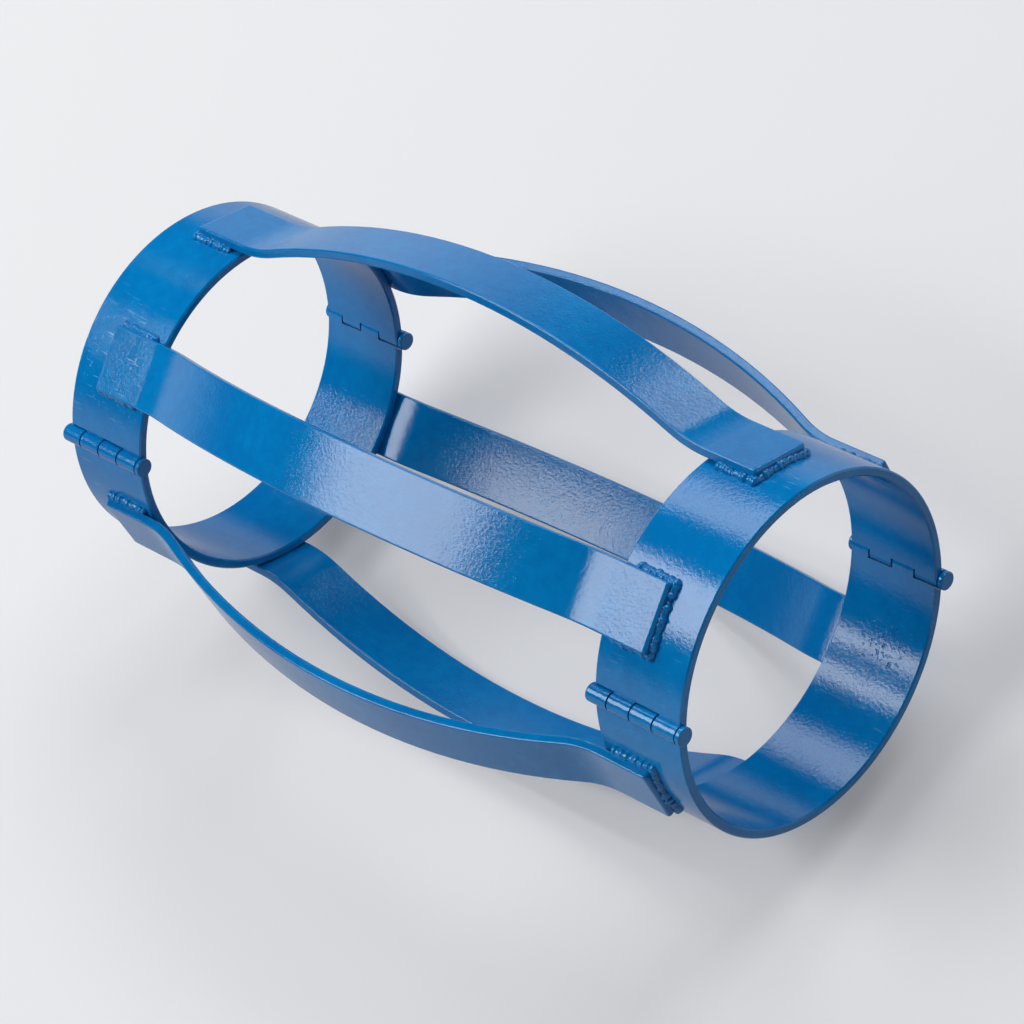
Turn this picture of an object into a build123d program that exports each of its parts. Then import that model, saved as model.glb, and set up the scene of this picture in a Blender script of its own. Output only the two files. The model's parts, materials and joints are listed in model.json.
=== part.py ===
"""Hinged, welded bow-spring casing centralizer for 178 mm (7 inch) casing.

Two end collars, each split into a lower and an upper half-collar, are joined by six joggled
spring-steel bows.  Three bows are fillet welded to the lower half-collars and three to the
upper ones, so the two halves open like a clam shell on the back hinge line.  Along both
splits the half-collars carry interleaved rolled hinge knuckles with a headed pin through
them.  The back pins stay in; the front pins are drawn along the axis to open the shell.

Millimetres.  +X runs along the casing axis, +Z is up, the origin lies on the axis at
mid-length.  The part lies on its two bottom bows.  Angles round the axis are counted from
+Y towards +Z.
"""

from build123d import *
from math import atan, cos, degrees, radians, sin, sqrt
import os

# ---------------------------------------------------------------- driving dimensions
bore_radius = 90.0            # the casing is 178 mm over its outside, 1 mm less all round
collar_wall = 5.0             # rolled strip
collar_width = 55.0           # along the axis
overall_length = 436.0        # from the outer edge of one collar to that of the other
collar_edge_break = 0.8       # rim edges, dulled

bow_count = 6
bow_width = 36.0
bow_thickness = 5.0
bow_rise = 30.5               # how far the bow's middle stands above its feet
bow_bend_radius = 62.0        # mid-line radius of the joggle at the collar's inner edge
bow_foot_overlap = 32.5       # length of foot that lies on the collar
bow_edge_round = 1.0          # mill edge of the flat bar
bow_corner_round = 2.0        # corners at the end of each foot

hinge_split_angle = 150.0     # front split; the back split is opposite
knuckle_count = 4             # per split and collar, lower and upper half by turns
knuckle_radius = 5.0
knuckle_gap = 1.0             # between neighbouring knuckles, along the pin
knuckle_proud = 2.2           # first knuckle, beyond the collar's left edge
knuckle_end_round = 1.3
notch_clearance = 0.7         # between a knuckle and the notched edge opposite it

pin_radius = 3.0
pin_fit = 0.06                # radial running fit in the knuckles
pin_head_radius = 5.0
pin_head_thickness = 3.0
pin_head_round = 0.8
pin_head_gap = 0.35           # under the head, to the last knuckle
pin_tip_chamfer = 0.8

weld_side_leg = 3.6           # across the collar, beside the foot
weld_end_leg = 4.4            # along the collar, past the foot's end
weld_throat_drop = 1.1        # below the foot's top face
weld_top_lip = 0.5            # how far the bead laps past the foot at its top
weld_end_setback = 3.0        # side beads stop this far short of the collar's inner edge

# ---------------------------------------------------------------- derived dimensions
outer_radius = bore_radius + collar_wall
half_length = overall_length / 2
inner_edge = half_length - collar_width
foot_end = inner_edge + bow_foot_overlap
split_angles = {"front": hinge_split_angle, "back": hinge_split_angle + 180.0}
bow_pitch = 360.0 / bow_count
bow_top_radius = outer_radius + bow_thickness
barrel_length = collar_width + knuckle_proud
knuckle_length = (barrel_length - (knuckle_count - 1) * knuckle_gap) / knuckle_count
knuckle_pitch = knuckle_length + knuckle_gap
hinge_radius = bore_radius + knuckle_radius

# Left and right collars by the x of their left edges.
collar_left_edge = {"left": -half_length, "right": half_length - collar_width}

# Bows by name, with their place round the axis and the half they are welded to.
bow_angles = {
    "back": 0 * bow_pitch,
    "top_back": 1 * bow_pitch,
    "top_front": 2 * bow_pitch,
    "front": 3 * bow_pitch,
    "bottom_front": 4 * bow_pitch,
    "bottom_back": 5 * bow_pitch,
}


def axial(left, length, radius, angle, centre_radius):
    """Gives a cylinder along the axis, at an angle and radius round it."""
    place = Location((left + length / 2, centre_radius * cos(radians(angle)),
                      centre_radius * sin(radians(angle))), (0, 90, 0))
    return place * Cylinder(radius, length)


def knuckle_left(collar, index):
    """Gives the x at which a knuckle of a collar starts, the first being the leftmost."""
    return collar_left_edge[collar] - knuckle_proud + index * knuckle_pitch


def knuckle_owner(index):
    """Says which half-collar a knuckle is rolled from."""
    return "lower" if index % 2 == 0 else "upper"


def half_collar(collar, half):
    """Builds one half-collar with its share of the knuckles on both splits."""
    left = collar_left_edge[collar]
    start = split_angles["front"] if half == "lower" else split_angles["back"]
    with BuildPart() as shell:
        with BuildSketch(Plane.YZ.offset(left)):
            Circle(outer_radius)
            Circle(bore_radius, mode=Mode.SUBTRACT)
        extrude(amount=collar_width)
        rims = shell.edges().filter_by(GeomType.CIRCLE)
        chamfer(rims, collar_edge_break)
        # Keep this half's side of the split plane.
        with BuildSketch(Plane.YZ.offset(left - 1)):
            with Locations(Location((0, 0), start - 180)):
                Rectangle(3 * outer_radius, 2 * outer_radius, align=(Align.CENTER, Align.MIN))
        extrude(amount=collar_width + 2, mode=Mode.SUBTRACT)
    body = shell.part
    for angle in split_angles.values():
        for index in range(knuckle_count):
            place = knuckle_left(collar, index)
            if knuckle_owner(index) == half:
                continue
            # Notch round the other half's knuckle, gap to gap, or past the collar's edge.
            low = place - knuckle_gap if index else place - 5
            high = place + knuckle_length + (knuckle_gap if index < knuckle_count - 1 else 5)
            body = body - axial(low, high - low, knuckle_radius + notch_clearance, angle,
                                hinge_radius)
        for index in range(knuckle_count):
            if knuckle_owner(index) == half:
                knuckle = axial(knuckle_left(collar, index), knuckle_length, knuckle_radius,
                                angle, hinge_radius)
                ends = knuckle.edges().filter_by(GeomType.CIRCLE)
                if index == 0:
                    knuckle = fillet(ends.sort_by(Axis.X)[0], knuckle_end_round)
                body = body + knuckle
        body = body - axial(left - 20, collar_width + 40, pin_radius + pin_fit, angle,
                            hinge_radius)
    return body


def bow_blank():
    """Builds one bow over +Z: flat feet, a joggle at each collar and one long spring arc."""
    free_half = inner_edge
    turn = 2 * atan(bow_rise / free_half)
    arc_radius = free_half / sin(turn) - bow_bend_radius
    middle = outer_radius + bow_thickness / 2

    def bend_point(side, turned, offset):
        """A point on the joggle of one side, offset outwards from the mid-line."""
        reach = bow_bend_radius - offset
        return (side * (free_half - reach * sin(turned)),
                middle + bow_bend_radius - reach * cos(turned))

    def arc_point(turned, offset):
        """A point on the long arc, offset outwards from the mid-line."""
        reach = arc_radius + offset
        return (reach * sin(turned), middle + bow_rise - arc_radius + reach * cos(turned))

    half = bow_thickness / 2
    with BuildPart() as blank:
        with BuildSketch(Plane.XZ):
            with BuildLine():
                for offset in (half, -half):
                    Line((-foot_end, middle + offset), bend_point(-1, 0, offset))
                    ThreePointArc(bend_point(-1, 0, offset), bend_point(-1, turn / 2, offset),
                                  bend_point(-1, turn, offset))
                    ThreePointArc(arc_point(-turn, offset), arc_point(0, offset),
                                  arc_point(turn, offset))
                    ThreePointArc(bend_point(1, turn, offset), bend_point(1, turn / 2, offset),
                                  bend_point(1, 0, offset))
                    Line(bend_point(1, 0, offset), (foot_end, middle + offset))
                Line((-foot_end, middle + half), (-foot_end, middle - half))
                Line((foot_end, middle + half), (foot_end, middle - half))
            make_face()
        extrude(amount=bow_width / 2, both=True)
        sides = blank.faces().sort_by(Axis.Y)
        long_edges = [edge for face in (sides[0], sides[-1]) for edge in face.edges()
                      if edge.length > 2 * bow_thickness]
        fillet(long_edges, bow_edge_round)
        fillet(blank.edges().filter_by(Axis.Z), bow_corner_round)
    return blank.part


def weld_blank(side, bow):
    """Builds the U-shaped fillet weld round one foot of the bow over +Z."""
    inner = inner_edge + weld_end_setback
    top = bow_top_radius - weld_throat_drop
    foot_length = foot_end - inner_edge
    bottom = bore_radius + 1.0
    # The side beads reach down to where the round collar has fallen away from the flat foot.
    side_toe = sqrt(outer_radius ** 2 - (bow_width / 2 + weld_side_leg) ** 2)
    side_slope = (weld_side_leg - weld_top_lip) / (top - side_toe)
    end_slope = (weld_end_leg - weld_top_lip) / (top - outer_radius)
    with BuildPart() as bead:
        for height in (bottom, top):
            side_growth = weld_top_lip + side_slope * (top - height)
            end_growth = weld_top_lip + end_slope * (top - height)
            with BuildSketch(Plane.XY.offset(height)):
                with Locations((side * (inner_edge + (foot_length + end_growth) / 2), 0)):
                    RectangleRounded(foot_length + end_growth, bow_width + 2 * side_growth,
                                     bow_corner_round + side_growth)
        loft()
        # Only the part over the collar, short of its inner edge, is weld.
        with BuildSketch(Plane.XY.offset(bottom - 1)):
            with Locations((side * (inner - 40), 0)):
                Rectangle(80, 3 * bow_width)
        extrude(amount=30, mode=Mode.SUBTRACT)
        with Locations(Location((0, 0, 0), (0, 90, 0))):
            Cylinder(outer_radius, 2 * overall_length, mode=Mode.SUBTRACT)
        add(bow, mode=Mode.SUBTRACT)
        # The space under the foot, between the two side beads, stays open.
        with BuildSketch(Plane.XY.offset(bottom - 1)):
            with Locations((side * inner_edge, 0)):
                Rectangle(2 * (foot_length - 1.0), bow_width - 2.0)
        extrude(amount=top, mode=Mode.SUBTRACT)
    return bead.part


def headed_pin(collar, split):
    """Builds one hinge pin: disc head at the right end, chamfered tip at the left end."""
    angle = split_angles[split]
    barrel_left = knuckle_left(collar, 0)
    barrel_right = barrel_left + barrel_length
    head_left = barrel_right + pin_head_gap
    tip = barrel_left - pin_head_gap
    shank = axial(tip, head_left - tip + 0.5, pin_radius, angle, hinge_radius)
    shank = chamfer(shank.edges().filter_by(GeomType.CIRCLE).sort_by(Axis.X)[0],
                    pin_tip_chamfer)
    head = axial(head_left, pin_head_thickness, pin_head_radius, angle, hinge_radius)
    head = fillet(head.edges().filter_by(GeomType.CIRCLE), pin_head_round)
    return shank + head


os.makedirs("parts", exist_ok=True)


def keep(shape, label):
    """Labels one solid and writes it out."""
    with BuildPart() as node:
        add(shape)
    node.part.label = label
    export_step(node.part, "parts/" + label + ".step")


for collar in ("left", "right"):
    for half in ("lower", "upper"):
        keep(half_collar(collar, half), f"{collar}_{half}_collar")
    keep(headed_pin(collar, "back"), f"{collar}_hinge_pin")
    keep(headed_pin(collar, "front"), f"{collar}_closing_pin")

spring = bow_blank()
beads = {"left": weld_blank(-1, spring), "right": weld_blank(1, spring)}
for name, angle in bow_angles.items():
    keep(spring.rotate(Axis.X, angle - 90), f"{name}_bow")
    for side, bead in beads.items():
        keep(bead.rotate(Axis.X, angle - 90), f"{name}_{side}_weld")
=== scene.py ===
"""Dresses the hinged bow-spring casing centralizer on its CAD frame.

Adds the rippled fillet welds, the gloss enamel with its orange peel, scuffs, pits and rust, a plain
pale floor, soft studio light and the camera. Lengths are in metres and share the CAD's frame: +X
runs along the casing and +Z is up.
"""

from __future__ import annotations

import json
import logging
import math
import random
from dataclasses import dataclass, field
from enum import Enum
from typing import Any, ClassVar, Sequence

import bmesh
import bpy
from mathutils import Euler, Matrix, Vector

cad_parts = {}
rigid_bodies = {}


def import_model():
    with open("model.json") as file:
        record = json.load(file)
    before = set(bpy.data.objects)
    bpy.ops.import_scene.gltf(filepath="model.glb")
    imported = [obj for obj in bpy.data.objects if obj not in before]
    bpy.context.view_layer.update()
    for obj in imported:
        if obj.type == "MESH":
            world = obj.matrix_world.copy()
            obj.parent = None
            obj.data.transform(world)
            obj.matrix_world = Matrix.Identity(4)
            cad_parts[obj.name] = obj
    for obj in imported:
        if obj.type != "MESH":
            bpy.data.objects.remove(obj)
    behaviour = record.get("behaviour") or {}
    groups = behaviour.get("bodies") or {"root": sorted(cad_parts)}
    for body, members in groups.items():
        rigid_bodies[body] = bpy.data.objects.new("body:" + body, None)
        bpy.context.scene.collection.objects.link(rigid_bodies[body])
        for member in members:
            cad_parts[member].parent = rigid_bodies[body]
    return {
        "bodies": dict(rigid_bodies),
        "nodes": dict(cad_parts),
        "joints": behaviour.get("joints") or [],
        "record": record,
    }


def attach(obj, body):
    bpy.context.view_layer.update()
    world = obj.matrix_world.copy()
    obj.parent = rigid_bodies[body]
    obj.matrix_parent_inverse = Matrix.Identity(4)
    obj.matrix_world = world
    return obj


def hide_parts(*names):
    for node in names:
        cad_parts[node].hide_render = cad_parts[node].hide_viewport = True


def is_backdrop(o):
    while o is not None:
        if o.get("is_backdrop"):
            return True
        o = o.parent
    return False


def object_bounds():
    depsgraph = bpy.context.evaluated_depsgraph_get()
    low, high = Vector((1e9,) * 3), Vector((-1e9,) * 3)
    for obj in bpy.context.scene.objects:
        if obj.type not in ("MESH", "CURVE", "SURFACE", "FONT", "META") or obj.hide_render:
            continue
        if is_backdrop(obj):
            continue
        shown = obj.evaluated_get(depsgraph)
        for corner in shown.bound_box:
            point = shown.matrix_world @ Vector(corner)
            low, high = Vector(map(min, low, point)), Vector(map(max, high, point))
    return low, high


LOG = logging.getLogger("centralizer")

Triple = tuple[float, float, float]
Colour = Triple
Spot = tuple[float, float, float, float]


# ------------------------------------------------------------------------------ shader maths
class Socket:
    """Wraps a node's output, so that shader maths can be written as an expression."""

    def __init__(self, graph: Graph, output: bpy.types.NodeSocket | None) -> None:
        """Keeps the output and the graph that it belongs to."""
        self.graph = graph
        self.output = output

    def _math(self, operation: str, first: Any, second: Any) -> Socket:
        """Adds one Math node for two operands."""
        return self.graph.node("ShaderNodeMath", {"operation": operation}, {0: first, 1: second})

    def __add__(self, other: Any) -> Socket:
        """Sum."""
        return self._math("ADD", self, other)

    __radd__ = __add__

    def __sub__(self, other: Any) -> Socket:
        """Difference."""
        return self._math("SUBTRACT", self, other)

    def __rsub__(self, other: Any) -> Socket:
        """Difference with the socket on the right."""
        return self._math("SUBTRACT", other, self)

    def __mul__(self, other: Any) -> Socket:
        """Product."""
        return self._math("MULTIPLY", self, other)

    __rmul__ = __mul__

    def at_least(self, other: Any) -> Socket:
        """The larger of the two."""
        return self._math("MAXIMUM", self, other)

    def ramp(self, low: float, high: float, start: float = 0.0, stop: float = 1.0) -> Socket:
        """Maps low..high smoothly to start..stop.

        Args:
            low: Input that gives start.
            high: Input that gives stop.
            start: Value at and below low.
            stop: Value at and above high.

        Returns:
            The mapped value, clamped at both ends.
        """
        return self.graph.node(
            "ShaderNodeMapRange",
            {"interpolation_type": "SMOOTHSTEP", "clamp": True},
            {"Value": self, "From Min": low, "From Max": high, "To Min": start, "To Max": stop},
        )


class Graph:
    """Builds the nodes of one material or world."""

    def __init__(self, tree: bpy.types.NodeTree) -> None:
        """Empties the tree and keeps it."""
        self.tree = tree
        tree.nodes.clear()

    def node(
        self,
        kind: str,
        settings: dict[str, Any] | None = None,
        values: dict[str | int, Any] | None = None,
        output: str | int = 0,
    ) -> Socket:
        """Adds one node.

        Args:
            kind: The node's type name.
            settings: Attributes of the node, set first.
            values: Values or links of its input sockets, by name or index.
            output: Name or index of the output to return.

        Returns:
            The chosen output.
        """
        made = self.tree.nodes.new(kind)
        for name, value in (settings or {}).items():
            setattr(made, name, value)
        for name, value in (values or {}).items():
            socket = made.inputs[name]
            if isinstance(value, Socket):
                self.tree.links.new(value.output, socket)
            elif isinstance(value, (tuple, list)) and socket.type == "RGBA":
                socket.default_value = (*value[:3], 1.0)
            else:
                socket.default_value = value
        return Socket(self, made.outputs[output] if made.outputs else None)

    def mix(self, mask: Any, first: Any, second: Any) -> Socket:
        """Mixes two colours by a mask."""
        return self.node(
            "ShaderNodeMix", {"data_type": "RGBA"}, {0: mask, 6: first, 7: second}, output=2
        )

    def place(self, turn: Triple = (0, 0, 0), stretch: Triple = (1, 1, 1)) -> Socket:
        """Object coordinates, turned and stretched."""
        coords = self.node("ShaderNodeTexCoord", output="Object")
        return self.node(
            "ShaderNodeMapping",
            {"vector_type": "POINT"},
            {"Vector": coords, "Rotation": turn, "Scale": stretch},
        )

    def ray(self, *kinds: str) -> Socket:
        """Says whether a ray is of one of the kinds that Light Path names."""
        found = self.node("ShaderNodeLightPath", output=kinds[0])
        for kind in kinds[1:]:
            found = found.at_least(self.node("ShaderNodeLightPath", output=kind))
        return found


def srgb(red: int, green: int, blue: int) -> Colour:
    """Turns a screen colour, 0 to 255, into the linear values that shaders take."""

    def channel(value: int) -> float:
        """One channel."""
        part = value / 255
        return part / 12.92 if part <= 0.04045 else ((part + 0.055) / 1.055) ** 2.4

    return channel(red), channel(green), channel(blue)


def link(mesh: bmesh.types.BMesh, name: str) -> bpy.types.Object:
    """Makes a scene object from a bmesh, which it frees.

    Args:
        mesh: The shape, in place.
        name: Name of the object and its mesh.

    Returns:
        The object, at the origin.
    """
    data = bpy.data.meshes.new(name)
    mesh.to_mesh(data)
    mesh.free()
    piece = bpy.data.objects.new(name, data)
    bpy.context.scene.collection.objects.link(piece)
    return piece


# --------------------------------------------------------------------------------- finishes
@dataclass(frozen=True)
class Pattern:
    """A noise pattern over the surface, and the part of it that counts as a mark.

    Attributes:
        scale: Cells per metre.
        detail: Octaves of finer noise.
        rough: Share of each finer octave.
        faint: Noise at which a mark begins.
        full: Noise at which it is at its strongest.
        turn: Turn of the pattern, in radians.
        stretch: How much closer it lies along each axis.
    """

    scale: float
    detail: float = 2.0
    rough: float = 0.5
    faint: float = 0.0
    full: float = 1.0
    turn: Triple = (0.0, 0.0, 0.0)
    stretch: Triple = (1.0, 1.0, 1.0)

    def noise(self, graph: Graph) -> Socket:
        """Gives the bare noise, about 0.5 on average."""
        place = graph.place(self.turn, self.stretch)
        return graph.node(
            "ShaderNodeTexNoise",
            {"noise_dimensions": "3D"},
            {"Vector": place, "Scale": self.scale, "Detail": self.detail,
             "Roughness": self.rough},
        )

    def marks(self, graph: Graph) -> Socket:
        """Gives 1 on the marks and 0 between them."""
        return self.noise(graph).ramp(self.faint, self.full)


@dataclass(frozen=True)
class Enamel:
    """Thick gloss enamel sprayed over mill-scaled strip.

    Attributes:
        name: Material name.
        deep: Colour where the coat is thick.
        thin: Colour where the coat is thin or chalky.
        peel: Height of the orange peel.
        fleck_share: Height of the finest grain against the peel.
        wave: Height of the long ripple of the rolled strip.
        gloss: Roughness of the clean coat.
        haze: How far the roughness strays with the mottle.
        cloudiness: How far it strays from place to place.
        index: Refractive index of the coat.
        scuffs: How much of the surface is scuffed, 0 to 1.
        scuff_dulling: Roughness added where it is scuffed.
        scrapes: Places scraped in handling, each as a middle and a radius.
        scrape_level: How bare they are, 0 to 1.
        pits: Places where scale left pits under the coat.
        pit_depth: Depth of the pits against the peel.
        pit_shade: How strongly the painted shade darkens the pits, 0 to 1.
        rust: Places where bare steel has rusted.
        rust_dulling: Roughness added where it has rusted.
        chalk: Colour of scuffed enamel.
        shade: Colour of the painted shade in the bottom of the pits.
        oxide: Colour of the rust.
        cloud: Broad changes of the coat.
        mottle: Fine changes of the coat.
        cloud_share: Part of the broad changes in the colour, 0 to 1.
        coat_range: Mixed noise that gives the deep and the thin colour.
        orange_peel: Pattern of the peel.
        fleck: Pattern of the finest grain.
        ripple: Pattern of the strip's long ripple.
        patches: Where handling has scuffed the coat.
        along: Scratches along the part.
        across: Scratches across them, in the scraped places.
        pitting: Pattern of the pits.
        rusting: Pattern of the rust.
        spot_core: Part of a spot's radius within which it is at its strongest.
    """

    name: str
    deep: Colour = (0.0, 0.148, 0.425)
    thin: Colour = (0.0, 0.190, 0.500)
    peel: float = 0.00010
    fleck_share: float = 0.30
    wave: float = 0.00012
    gloss: float = 0.065
    haze: float = 0.07
    cloudiness: float = 0.06
    index: float = 1.44
    scuffs: float = 0.35
    scuff_dulling: float = 0.30
    scrapes: tuple[Spot, ...] = ()
    scrape_level: float = 0.55
    pits: tuple[Spot, ...] = ()
    pit_depth: float = 2.4
    pit_shade: float = 0.35
    rust: tuple[Spot, ...] = ()
    rust_dulling: float = 0.5
    chalk: Colour = srgb(120, 165, 205)
    # painted shade: dark colour that stands in for the shade inside the pits
    shade: Colour = srgb(10, 40, 70)
    oxide: Colour = srgb(120, 74, 46)
    cloud: ClassVar[Pattern] = Pattern(14.0, 3.0, 0.55)
    mottle: ClassVar[Pattern] = Pattern(160.0, 3.0, 0.6)
    cloud_share: ClassVar[float] = 0.6
    coat_range: ClassVar[tuple[float, float]] = (0.38, 0.68)
    orange_peel: ClassVar[Pattern] = Pattern(600.0, 3.0, 0.55)
    fleck: ClassVar[Pattern] = Pattern(1500.0)
    ripple: ClassVar[Pattern] = Pattern(55.0, 3.0)
    patches: ClassVar[Pattern] = Pattern(9.0, faint=0.52, full=0.68)
    along: ClassVar[Pattern] = Pattern(
        90.0, 2.0, 0.4, 0.64, 0.74, turn=(0.3, 0.2, 0.5), stretch=(1.0, 9.0, 9.0)
    )
    across: ClassVar[Pattern] = Pattern(
        70.0, 2.0, 0.4, 0.66, 0.74, turn=(0.9, 0.4, -0.7), stretch=(9.0, 1.0, 9.0)
    )
    pitting: ClassVar[Pattern] = Pattern(480.0, 1.0, faint=0.60, full=0.70)
    rusting: ClassVar[Pattern] = Pattern(700.0, 2.0, 0.6, 0.42, 0.55)
    spot_core: ClassVar[float] = 0.35

    def _near(self, graph: Graph, here: Socket, spots: Sequence[Spot]) -> Socket | float:
        """Gives 1 in the middle of the spots and 0 beyond their radius.

        Args:
            graph: The material's nodes.
            here: Object coordinates.
            spots: Each spot's middle and radius.

        Returns:
            The mask.
        """
        mask: Socket | float = 0.0
        for x, y, z, radius in spots:
            away = graph.node(
                "ShaderNodeVectorMath",
                {"operation": "DISTANCE"},
                {0: here, 1: (x, y, z)},
                output="Value",
            )
            mask = away.ramp(radius * self.spot_core, radius, 1.0, 0.0) + mask
        return mask

    def _scuff(self, graph: Graph, here: Socket) -> Socket:
        """Gives how bare handling has left each place, 0 to 1."""
        streaks = self.along.marks(graph)
        scuff = streaks * self.patches.marks(graph) * self.scuffs
        if self.scrapes:
            crossed = streaks.at_least(self.across.marks(graph))
            scuff = scuff + crossed * self._near(graph, here, self.scrapes) * self.scrape_level
        return scuff

    def _skin(self, graph: Graph, relief: Socket) -> Socket:
        """Gives the normal of the coat: orange peel over the strip's long ripple."""
        broad = self.ripple.noise(graph)
        ripple = graph.node(
            "ShaderNodeBump", {}, {"Strength": 1.0, "Distance": self.wave, "Height": broad}
        )
        return graph.node(
            "ShaderNodeBump",
            {},
            {"Strength": 1.0, "Distance": self.peel, "Height": relief, "Normal": ripple},
        )

    def material(self) -> bpy.types.Material:
        """Builds the material.

        Returns:
            The finished material.
        """
        made = bpy.data.materials.new(self.name)
        made.use_nodes = True
        graph = Graph(made.node_tree)
        here = graph.place()
        cloud = self.cloud.noise(graph)
        mottle = self.mottle.noise(graph)
        scuff = self._scuff(graph, here)
        coat = cloud * self.cloud_share + mottle * (1 - self.cloud_share)
        colour = graph.mix(coat.ramp(*self.coat_range), self.deep, self.thin)
        colour = graph.mix(scuff, colour, self.chalk)
        rough = self.gloss + (mottle - 0.5) * self.haze + scuff * self.scuff_dulling
        rough = rough + (cloud - 0.5) * self.cloudiness
        relief = self.orange_peel.noise(graph) + self.fleck.noise(graph) * self.fleck_share
        if self.pits:
            pit = self._near(graph, here, self.pits) * self.pitting.marks(graph)
            relief = relief - pit * self.pit_depth
            # painted shade: darkens the pits towards the shade colour, on top of their bump relief
            colour = graph.mix(pit * self.pit_shade, colour, self.shade)
        if self.rust:
            rust = self._near(graph, here, self.rust) * self.rusting.marks(graph)
            colour = graph.mix(rust, colour, self.oxide)
            rough = rough + rust * self.rust_dulling
        surface = graph.node(
            "ShaderNodeBsdfPrincipled",
            {},
            {"Base Color": colour, "Roughness": rough, "Metallic": 0.0, "IOR": self.index,
             "Normal": self._skin(graph, relief)},
        )
        graph.node("ShaderNodeOutputMaterial", {}, {"Surface": surface})
        return made


# ------------------------------------------------------------------------------- welds
class Side(Enum):
    """Which collar a foot lies on."""

    LEFT = -1
    RIGHT = 1


@dataclass
class Foot:
    """One bow's foot on one collar.

    Attributes:
        bow: Name of the bow, without its ending.
        side: The collar that the foot lies on.
        angle: The bow's place round the axis, in degrees from +Y towards +Z.
        outer_radius: Outer radius of the collar.
        half_width: Half the width of the bow.
        inner_edge: Distance of the collar's inner edge from mid-length.
        end: Distance of the foot's end from mid-length.
    """

    bow: str
    side: Side
    angle: float
    outer_radius: ClassVar[float] = 0.095
    half_width: ClassVar[float] = 0.018
    inner_edge: ClassVar[float] = 0.163
    end: ClassVar[float] = 0.1955

    @property
    def node(self) -> str:
        """Name of the weld's CAD node."""
        return f"{self.bow}_{self.side.name.lower()}_weld"

    @property
    def matrix(self) -> Matrix:
        """Turns a shape made over +Z on the right collar into this foot's place."""
        turn = Matrix.Rotation(math.radians(self.angle - 90.0), 4, "X")
        flip = Matrix.Rotation(math.pi if self.side is Side.LEFT else 0.0, 4, "Z")
        return turn @ flip


@dataclass
class FilletWeld:
    """A hand-laid fillet weld round one foot, as overlapping frozen puddles.

    Attributes:
        foot: The foot that it holds.
        seed: Makes each weld its own.
        pitch: Distance between puddles.
        leg: How far it spreads over the collar.
        rise: How far it climbs the foot's edge.
        length_share: Half-length of a puddle against the pitch.
        start_gap: Least and most distance of its starts from the collar's inner edge.
        sizes: Least and most size of a puddle.
        wander: How far a puddle strays.
        lean: How far it leans, in radians.
        twist: How far it turns on the collar, in radians.
        facets: Subdivisions of a puddle's sphere.
        voxel: Grain of the fused bead.
        softness: Strength of one smoothing pass.
        passes: Number of those passes.
    """

    foot: Foot
    seed: int
    pitch: float = 0.0020
    leg: float = 0.0027
    rise: float = 0.0033
    length_share: float = 0.95
    start_gap: tuple[float, float] = (0.005, 0.010)
    sizes: tuple[float, float] = (0.76, 1.16)
    wander: float = 0.0002
    lean: float = 0.15
    twist: float = 0.2
    facets: int = 3
    voxel: float = 0.0004
    softness: float = 0.5
    passes: int = 2

    def _stations(self) -> list[tuple[Vector, Vector]]:
        """Gives the puddles' centres and running directions, over +Z on the right collar."""
        foot = self.foot
        chance = random.Random(self.seed)
        first, last = (foot.inner_edge + chance.uniform(*self.start_gap) for _ in range(2))
        corners = [
            Vector((first, -foot.half_width, 0)),
            Vector((foot.end, -foot.half_width, 0)),
            Vector((foot.end, foot.half_width, 0)),
            Vector((last, foot.half_width, 0)),
        ]
        stations: list[tuple[Vector, Vector]] = []
        for a, b in zip(corners, corners[1:]):
            run = (b - a).normalized()
            count = max(2, round((b - a).length / self.pitch))
            for step in range(count + 1):
                stations.append((a.lerp(b, step / count), run))
        return stations

    def build(self) -> bpy.types.Object:
        """Builds the bead.

        Returns:
            The weld's object, in place.
        """
        foot = self.foot
        chance = random.Random(self.seed * 7 + 1)
        mesh = bmesh.new()
        for centre, run in self._stations():
            surface = math.sqrt(foot.outer_radius ** 2 - centre.y ** 2)
            size = chance.uniform(*self.sizes)
            place = Matrix.Translation([
                middle + chance.gauss(0, self.wander) for middle in (centre.x, centre.y, surface)
            ])
            angles = (
                chance.gauss(0, self.lean),
                chance.gauss(0, self.lean),
                math.atan2(run.y, run.x) + chance.gauss(0, self.twist),
            )
            turn = Euler(angles).to_matrix().to_4x4()
            stretch = Matrix.Diagonal((
                self.pitch * self.length_share * size, self.leg * size, self.rise * size, 1.0,
            ))
            bmesh.ops.create_icosphere(
                mesh,
                subdivisions=self.facets,
                radius=1.0,
                matrix=foot.matrix @ place @ turn @ stretch,
            )
        piece = link(mesh, f"{foot.node}_bead")
        self._fuse(piece)
        return piece

    def _fuse(self, piece: bpy.types.Object) -> None:
        """Fuses the puddles into one skin and softens it."""
        fuse = piece.modifiers.new("fuse", "REMESH")
        fuse.mode = "VOXEL"
        fuse.voxel_size = self.voxel
        fuse.use_smooth_shade = True
        soften = piece.modifiers.new("soften", "SMOOTH")
        soften.factor = self.softness
        soften.iterations = self.passes
        bpy.context.view_layer.update()
        graph = bpy.context.evaluated_depsgraph_get()
        baked = bpy.data.meshes.new_from_object(piece.evaluated_get(graph))
        piece.modifiers.clear()
        piece.data = baked
        piece.data.shade_smooth()


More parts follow.
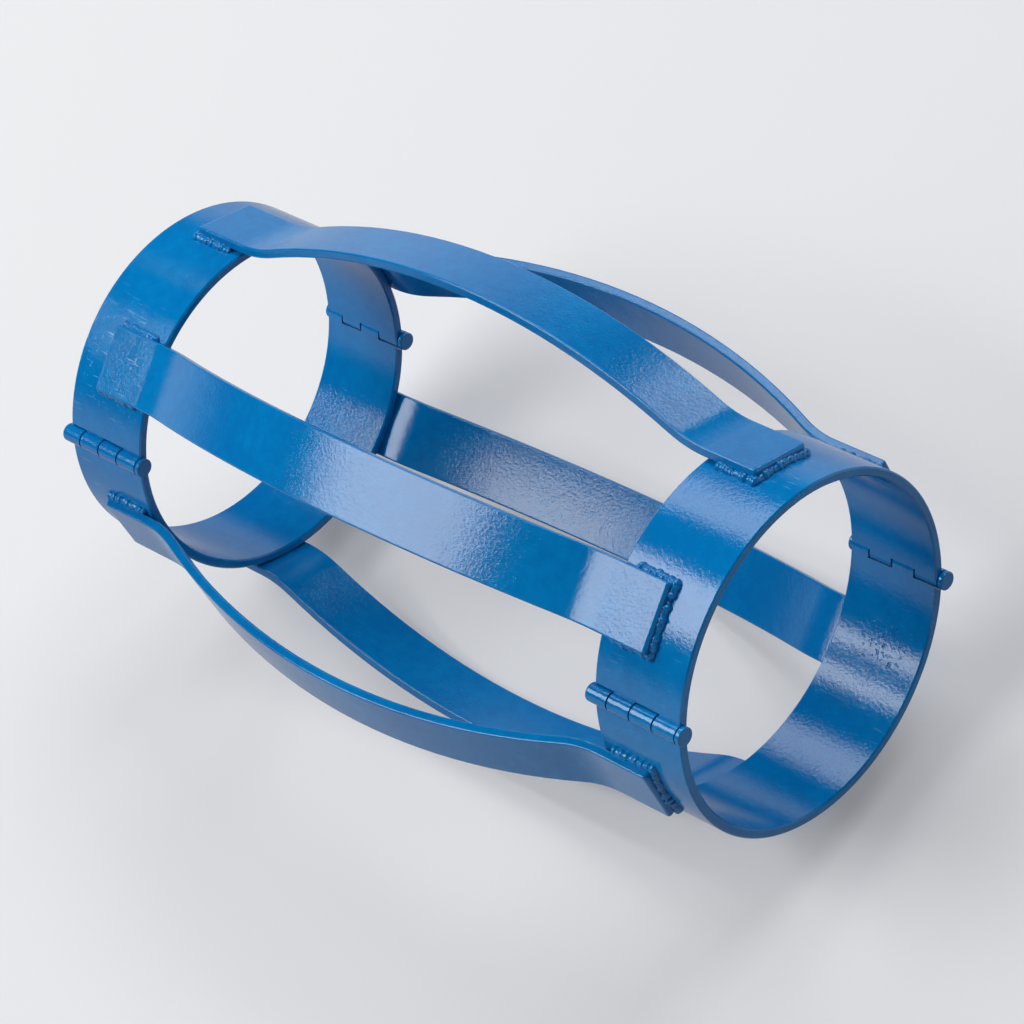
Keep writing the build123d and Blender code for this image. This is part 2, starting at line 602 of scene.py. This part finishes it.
@dataclass
class Centralizer:
    """The whole part: CAD nodes dressed in enamel, with modelled welds.

    Attributes:
        finishes: The materials, by slot.
        bows: Each bow's place round the axis, in degrees.
        upper: The bows that open with the upper half.
        first_seed: Seed of the first weld.
    """

    frame: dict[str, Any]
    finishes: dict[str, bpy.types.Material] = field(default_factory=dict)
    bows: ClassVar[dict[str, float]] = {
        "back": 0.0, "top_back": 60.0, "top_front": 120.0,
        "front": 180.0, "bottom_front": 240.0, "bottom_back": 300.0,
    }
    upper: ClassVar[frozenset[str]] = frozenset({"back", "top_back", "top_front"})
    first_seed: ClassVar[int] = 12

    def dress(self) -> None:
        """Gives every CAD node its finish."""
        enamels = (
            Enamel(
                "collar_enamel",
                scrapes=((-0.190, -0.048, 0.083, 0.045),),
                pits=((0.192, 0.045, -0.078, 0.022),),
                rust=((0.188, 0.082, -0.047, 0.005),),
            ),
            Enamel("bow_enamel", scuffs=0.25, scrapes=((-0.175, -0.050, 0.087, 0.020),)),
            Enamel("weld_enamel", wave=0.00015, gloss=0.06),
            Enamel("pin_enamel", peel=0.00007),
        )
        self.finishes = {enamel.name: enamel.material() for enamel in enamels}
        slots = {part["node"]: part["material_slot"] for part in self.frame["record"]["subparts"]}
        for node, item in self.frame["nodes"].items():
            item.data.materials.clear()
            item.data.materials.append(self.finishes[slots[node]])
        LOG.info("dressed %d nodes", len(self.frame["nodes"]))

    def weld(self) -> None:
        """Lays the fillet welds."""
        feet = [Foot(bow, side, angle) for bow, angle in self.bows.items() for side in Side]
        for seed, foot in enumerate(feet, self.first_seed):
            piece = FilletWeld(foot, seed).build()
            piece.data.materials.clear()
            piece.data.materials.append(self.finishes["weld_enamel"])
            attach(piece, "upper_half" if foot.bow in self.upper else "lower_half")
            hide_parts(foot.node)
            LOG.info("%s: %d faces", piece.name, len(piece.data.polygons))


# ------------------------------------------------------------------------------- studio
@dataclass(frozen=True)
class SoftBox:
    """A rectangular lamp.

    Attributes:
        name: The lamp's name.
        place: Where its middle hangs.
        size: Width and height.
        radiance: Brightness of its face.
        turn: Turn about the vertical, in degrees.
        tip: Turn about its own width, in degrees: 0 shines straight down.
        tint: Colour of its light.
    """

    name: str
    place: Triple
    size: tuple[float, float]
    radiance: float
    turn: float = 0.0
    tip: float = 0.0
    tint: Colour = (1.0, 1.0, 1.0)

    def hang(self) -> None:
        """Adds the lamp to the scene."""
        data = bpy.data.lights.new(self.name, "AREA")
        data.shape = "RECTANGLE"
        data.size, data.size_y = self.size
        data.energy = self.radiance * math.pi * self.size[0] * self.size[1]
        data.color = self.tint
        lamp = bpy.data.objects.new(self.name, data)
        lamp.matrix_world = (
            Matrix.Translation(self.place)
            @ Matrix.Rotation(math.radians(self.turn), 4, "Z")
            @ Matrix.Rotation(math.radians(self.tip), 4, "X")
        )
        bpy.context.scene.collection.objects.link(lamp)


@dataclass
class Studio:
    """Floor, world, lamps and camera.

    Attributes:
        floor_height: Height of the floor.
        floor_reach: Distance from the part to the floor's sides.
        paper: Colour of the floor's paper under the lamps.
        bounce: Colour of the light that the paper throws back on the part.
        glow: Colour that the lens sees mixed into the paper, so that it looks even.
        evenness: Share of that colour round the part.
        near: Distance from the part up to which that share holds.
        far: Distance at which the lens sees that colour alone.
        wall: Colour of the walls.
        wall_low: Sine of the height over the horizon up to which the walls are pale.
        wall_top: Sine of the height at which they have become dim.
        wall_level: Brightness of the pale walls.
        dim_level: Brightness above them.
        eye: Where the camera stands.
        aim: What it looks at.
        roll: Turn of the camera about its view, in degrees.
        lens: Focal length, in millimetres.
        sensor: Width of the sensor, in millimetres.
        sight: Furthest distance that the camera sees.
        boxes: The soft boxes.
    """

    floor_height: float
    floor_reach: float = 9.0
    paper: Colour = srgb(213, 215, 219)
    bounce: Colour = srgb(168, 168, 172)
    glow: Colour = srgb(234, 234, 236)
    evenness: float = 0.26
    near: float = 0.6
    far: float = 2.4
    wall: Colour = srgb(236, 238, 242)
    wall_low: float = 0.10
    wall_top: float = 0.25
    wall_level: float = 0.85
    dim_level: float = 0.04
    eye: Triple = (1.33145, -0.59066, 1.56597)
    aim: Triple = (0.00887, 0.00275, -0.00643)
    roll: float = -33.486
    lens: float = 147.565
    sensor: float = 36.0
    sight: float = 30.0
    boxes: tuple[SoftBox, ...] = (
        SoftBox("front_box", (-1.81, -1.91, 3.0), (2.54, 2.61), 8.0, turn=-20.0,
                tint=(1.0, 0.985, 0.955)),
        SoftBox("back_box", (-1.85, 2.45, 3.0), (2.1, 2.5), 4.0),
        SoftBox("top_box", (0.75, 2.45, 3.2), (2.0, 2.2), 5.2, tip=-37.0),
        SoftBox("rear_strip", (-0.55, 4.5, 1.42), (1.1, 0.5), 5.0, tip=-72.0),
    )

    def floor_paper(self) -> bpy.types.Material:
        """Builds the floor's finish, which is lit and also glows a little for the lens.

        Returns:
            The material.
        """
        made = bpy.data.materials.new("floor_paper")
        made.use_nodes = True
        graph = Graph(made.node_tree)
        colour = graph.mix(graph.ray("Is Camera Ray"), self.bounce, self.paper)
        paper = graph.node(
            "ShaderNodeBsdfPrincipled",
            {},
            {"Base Color": colour, "Roughness": 0.9, "Specular IOR Level": 0.1},
        )
        glow = graph.node("ShaderNodeEmission", {}, {"Color": self.glow, "Strength": 1.0})
        away = graph.node(
            "ShaderNodeVectorMath", {"operation": "LENGTH"}, {0: graph.place()}, output="Value"
        )
        seen = graph.ray("Is Camera Ray", "Is Glossy Ray", "Is Transmission Ray")
        share = seen * away.ramp(self.near, self.far, self.evenness, 1.0)
        surface = graph.node("ShaderNodeMixShader", {}, {0: share, 1: paper, 2: glow})
        graph.node("ShaderNodeOutputMaterial", {}, {"Surface": surface})
        return made

    def floor(self) -> None:
        """Lays the pale floor, which keeps the part's shadow."""
        mesh = bmesh.new()
        bmesh.ops.create_grid(
            mesh, x_segments=1, y_segments=1, size=self.floor_reach,
            matrix=Matrix.Translation((0, 0, self.floor_height)),
        )
        piece = link(mesh, "floor")
        piece.data.materials.append(self.floor_paper())
        piece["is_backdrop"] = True

    def world(self) -> None:
        """Surrounds the floor with pale walls, up to a little over the horizon."""
        world = bpy.data.worlds.new("studio")
        bpy.context.scene.world = world
        world.use_nodes = True
        graph = Graph(world.node_tree)
        aim = graph.node("ShaderNodeTexCoord", output="Generated")
        height = graph.node("ShaderNodeSeparateXYZ", {}, {0: aim}, output="Z")
        wall = height.ramp(self.wall_low, self.wall_top, self.wall_level, self.dim_level)
        strength = wall.at_least(graph.ray("Is Camera Ray") * self.wall_level)
        surface = graph.node(
            "ShaderNodeBackground", {}, {"Color": self.wall, "Strength": strength}
        )
        graph.node("ShaderNodeOutputWorld", {}, {"Surface": surface})

    def camera(self) -> None:
        """Places the camera."""
        data = bpy.data.cameras.new("camera")
        data.lens = self.lens
        data.sensor_width = self.sensor
        data.clip_end = self.sight
        camera = bpy.data.objects.new("camera", data)
        eye = Vector(self.eye)
        look = (Vector(self.aim) - eye).to_track_quat("-Z", "Y").to_matrix().to_4x4()
        roll = Matrix.Rotation(math.radians(self.roll), 4, "Z")
        camera.matrix_world = Matrix.Translation(eye) @ look @ roll
        bpy.context.scene.collection.objects.link(camera)
        bpy.context.scene.camera = camera

    def build(self) -> None:
        """Builds the whole studio."""
        self.floor()
        self.world()
        self.camera()
        for box in self.boxes:
            box.hang()
        bpy.context.scene.view_settings.view_transform = "Standard"
        LOG.info("studio with %d soft boxes", len(self.boxes))


def main() -> None:
    """Builds the part and its studio in order."""
    logging.basicConfig(level=logging.INFO)
    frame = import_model()
    cad = [list(corner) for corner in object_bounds()]
    part = Centralizer(frame)
    part.dress()
    part.weld()
    Studio(floor_height=cad[0][2]).build()


if __name__ == "__main__":
    main()
